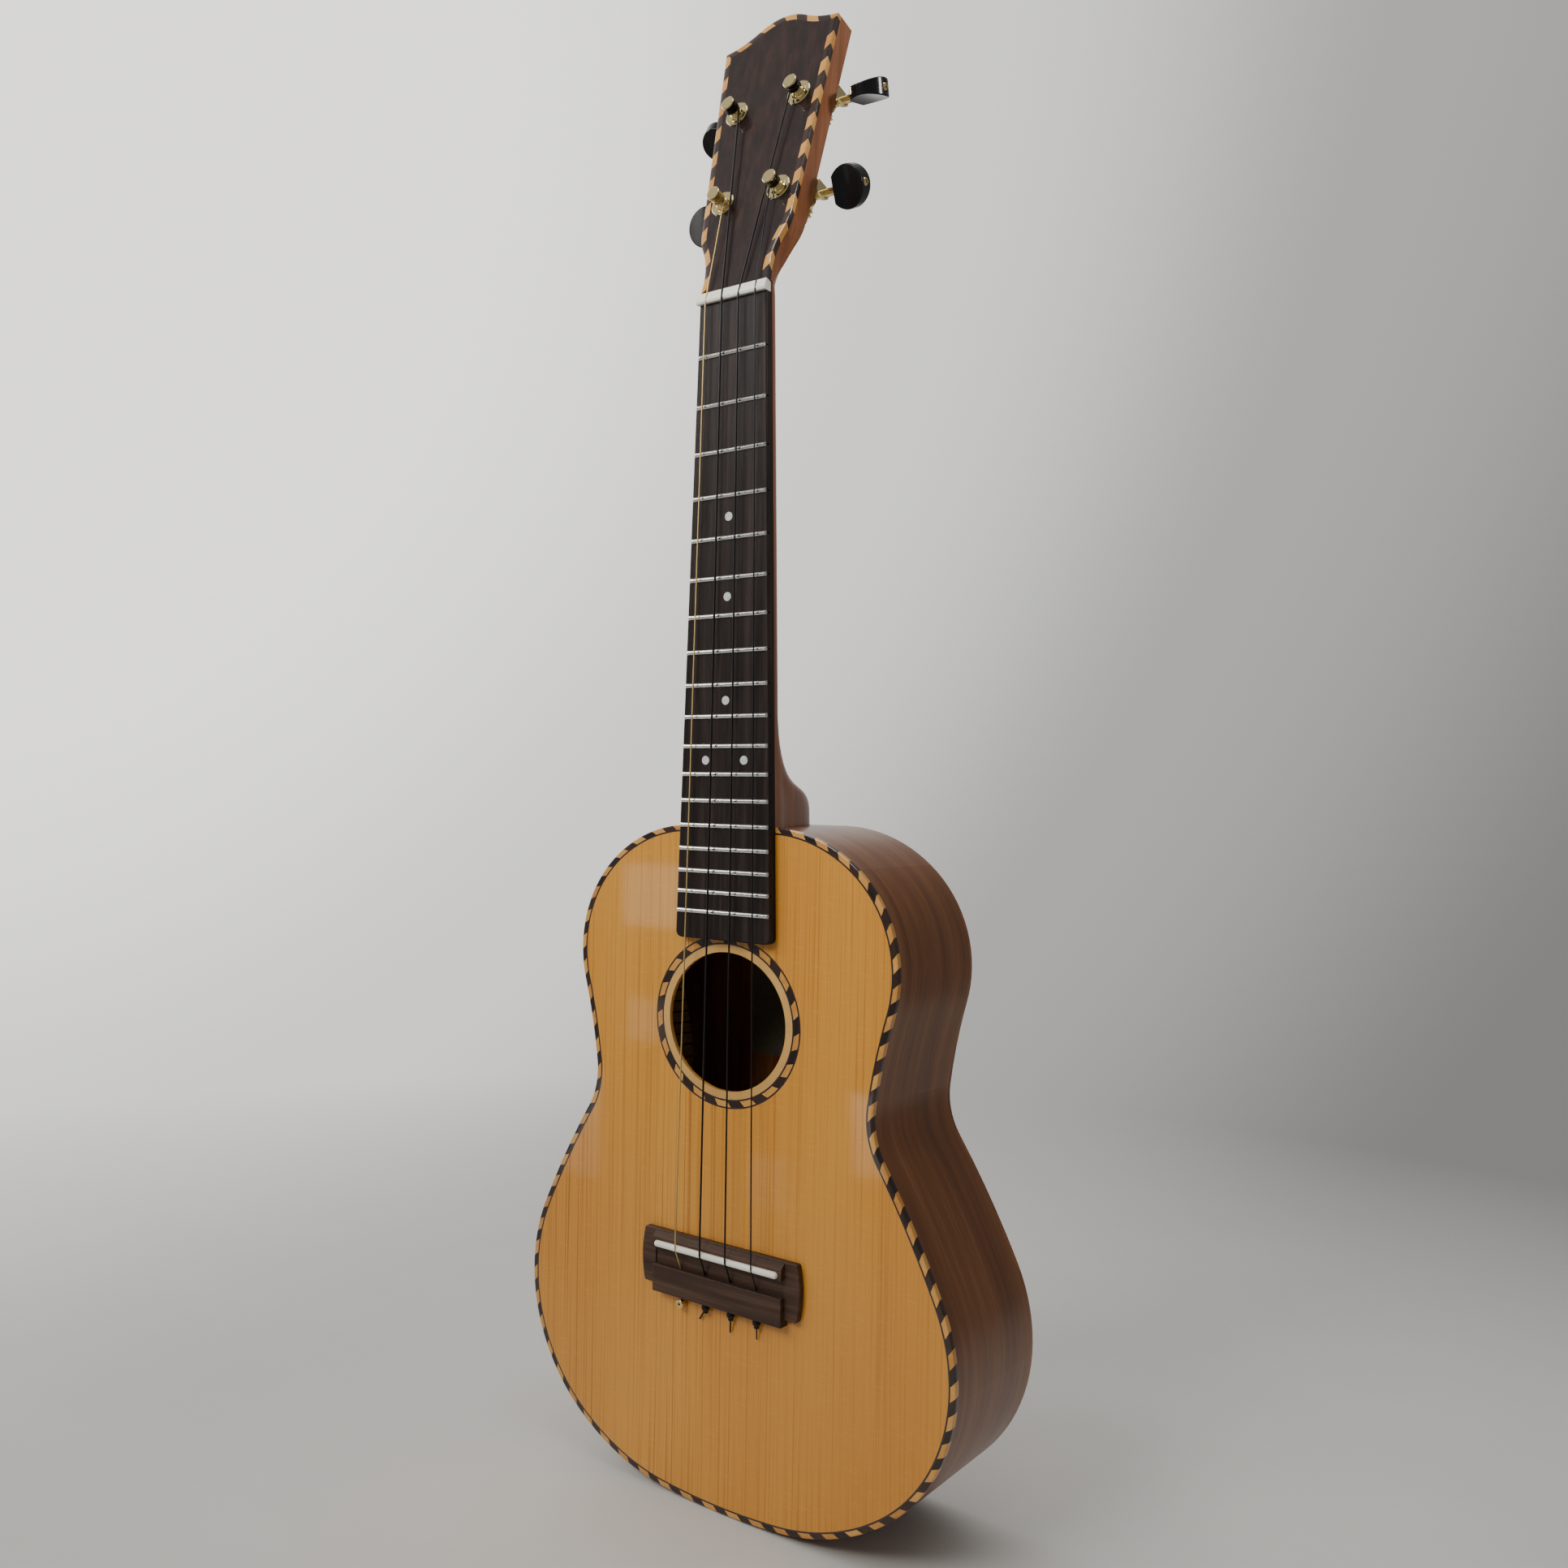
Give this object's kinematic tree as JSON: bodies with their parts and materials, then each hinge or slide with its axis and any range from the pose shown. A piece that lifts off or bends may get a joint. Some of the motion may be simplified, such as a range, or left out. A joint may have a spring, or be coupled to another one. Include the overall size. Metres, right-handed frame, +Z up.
{
  "type": "ukulele",
  "caption": "Tenor ukulele with a figure-eight body, rope-pattern binding, tie bridge and slanted headstock with open geared tuners.",
  "frame": {"origin": "on the centreline, on the fretboard's playing surface, at its edge against the nut", "axes": "+Z up along the neck towards the headstock, +Y into the body away from the player's view of the front, +X to the right as the front is seen"},
  "size_m": [0.232, 0.0891, 0.6992],
  "materials": {
    "spruce_top": "gloss",
    "pale_ring": "gloss",
    "rope_inlay": "gloss, slanted dark and tan blocks",
    "black_line": "gloss",
    "body_wood": "satin gloss",
    "inner_wood": "bare",
    "label_paper": "matte paper",
    "neck_wood": "satin",
    "veneer_wood": "gloss",
    "board_wood": "satin",
    "bridge_wood": "satin",
    "fret_metal": "polished",
    "pearl_dot": "polished",
    "bone": "polished",
    "wound_string": "wound",
    "black_string": "smooth",
    "ball_brass": "polished",
    "gold_plate": "polished gold plate",
    "black_button": "high gloss"
  },
  "bodies": {
    "root": {"top_plate": "spruce_top", "soundhole_ring": "pale_ring", "rosette": "rope_inlay", "purfling": "black_line", "top_binding": "rope_inlay", "back_plate": "body_wood", "bass_side": "body_wood", "treble_side": "body_wood", "neck_block": "inner_wood", "tail_block": "inner_wood", "linings": "inner_wood", "bridge_patch": "inner_wood", "top_braces": "inner_wood", "back_braces": "inner_wood", "inside_label": "label_paper", "neck": "neck_wood", "headstock_veneer": "veneer_wood", "headstock_binding": "rope_inlay", "fretboard": "board_wood", "frets": "fret_metal", "fret_markers": "pearl_dot", "string_g": "wound_string", "string_c": "black_string", "string_e": "black_string", "string_a": "black_string", "string_ball_end": "ball_brass", "nut": "bone", "bridge": "bridge_wood", "saddle": "bone", "tuner_plates": "gold_plate", "tuner_bushings": "gold_plate", "tuner_mount_screws": "gold_plate"},
    "tuner_1_key": {"tuner_1_worm": "gold_plate", "tuner_1_button": "black_button", "tuner_1_button_screw": "gold_plate"},
    "tuner_1_roller": {"tuner_1_post": "gold_plate", "tuner_1_gear": "gold_plate", "tuner_1_gear_screw": "gold_plate", "tuner_1_winding": "wound_string"},
    "tuner_2_key": {"tuner_2_worm": "gold_plate", "tuner_2_button": "black_button", "tuner_2_button_screw": "gold_plate"},
    "tuner_2_roller": {"tuner_2_post": "gold_plate", "tuner_2_gear": "gold_plate", "tuner_2_gear_screw": "gold_plate", "tuner_2_winding": "black_string"},
    "tuner_3_key": {"tuner_3_worm": "gold_plate", "tuner_3_button": "black_button", "tuner_3_button_screw": "gold_plate"},
    "tuner_3_roller": {"tuner_3_post": "gold_plate", "tuner_3_gear": "gold_plate", "tuner_3_gear_screw": "gold_plate", "tuner_3_winding": "black_string"},
    "tuner_4_key": {"tuner_4_worm": "gold_plate", "tuner_4_button": "black_button", "tuner_4_button_screw": "gold_plate"},
    "tuner_4_roller": {"tuner_4_post": "gold_plate", "tuner_4_gear": "gold_plate", "tuner_4_gear_screw": "gold_plate", "tuner_4_winding": "black_string"}
  },
  "joints": [
    {"name": "tuner_1_key_turn", "type": "hinge", "parent": "root", "child": "tuner_1_key", "pos_m": [-0.0152, 0.03469, 0.05156], "axis": [-1, 0, 0], "continuous": true},
    {"name": "tuner_1_roller_turn", "type": "hinge", "parent": "root", "child": "tuner_1_roller", "pos_m": [-0.0152, 0.01306, 0.05029], "axis": [0, -0.9636, 0.2672], "continuous": true},
    {"name": "tuner_2_key_turn", "type": "hinge", "parent": "root", "child": "tuner_2_key", "pos_m": [-0.017, 0.04765, 0.09829], "axis": [-1, 0, 0], "continuous": true},
    {"name": "tuner_2_roller_turn", "type": "hinge", "parent": "root", "child": "tuner_2_roller", "pos_m": [-0.017, 0.02602, 0.09703], "axis": [0, -0.9636, 0.2672], "continuous": true},
    {"name": "tuner_3_key_turn", "type": "hinge", "parent": "root", "child": "tuner_3_key", "pos_m": [0.017, 0.04765, 0.09829], "axis": [1, 0, 0], "continuous": true},
    {"name": "tuner_3_roller_turn", "type": "hinge", "parent": "root", "child": "tuner_3_roller", "pos_m": [0.017, 0.02602, 0.09703], "axis": [0, -0.9636, 0.2672], "continuous": true},
    {"name": "tuner_4_key_turn", "type": "hinge", "parent": "root", "child": "tuner_4_key", "pos_m": [0.0152, 0.03469, 0.05156], "axis": [1, 0, 0], "continuous": true},
    {"name": "tuner_4_roller_turn", "type": "hinge", "parent": "root", "child": "tuner_4_roller", "pos_m": [0.0152, 0.01306, 0.05029], "axis": [0, -0.9636, 0.2672], "continuous": true}
  ],
  "couplings": [
    {"joint": "tuner_1_roller_turn", "follows": "tuner_1_key_turn", "ratio": 0.071429},
    {"joint": "tuner_2_roller_turn", "follows": "tuner_2_key_turn", "ratio": 0.071429},
    {"joint": "tuner_3_roller_turn", "follows": "tuner_3_key_turn", "ratio": 0.071429},
    {"joint": "tuner_4_roller_turn", "follows": "tuner_4_key_turn", "ratio": 0.071429}
  ]
}
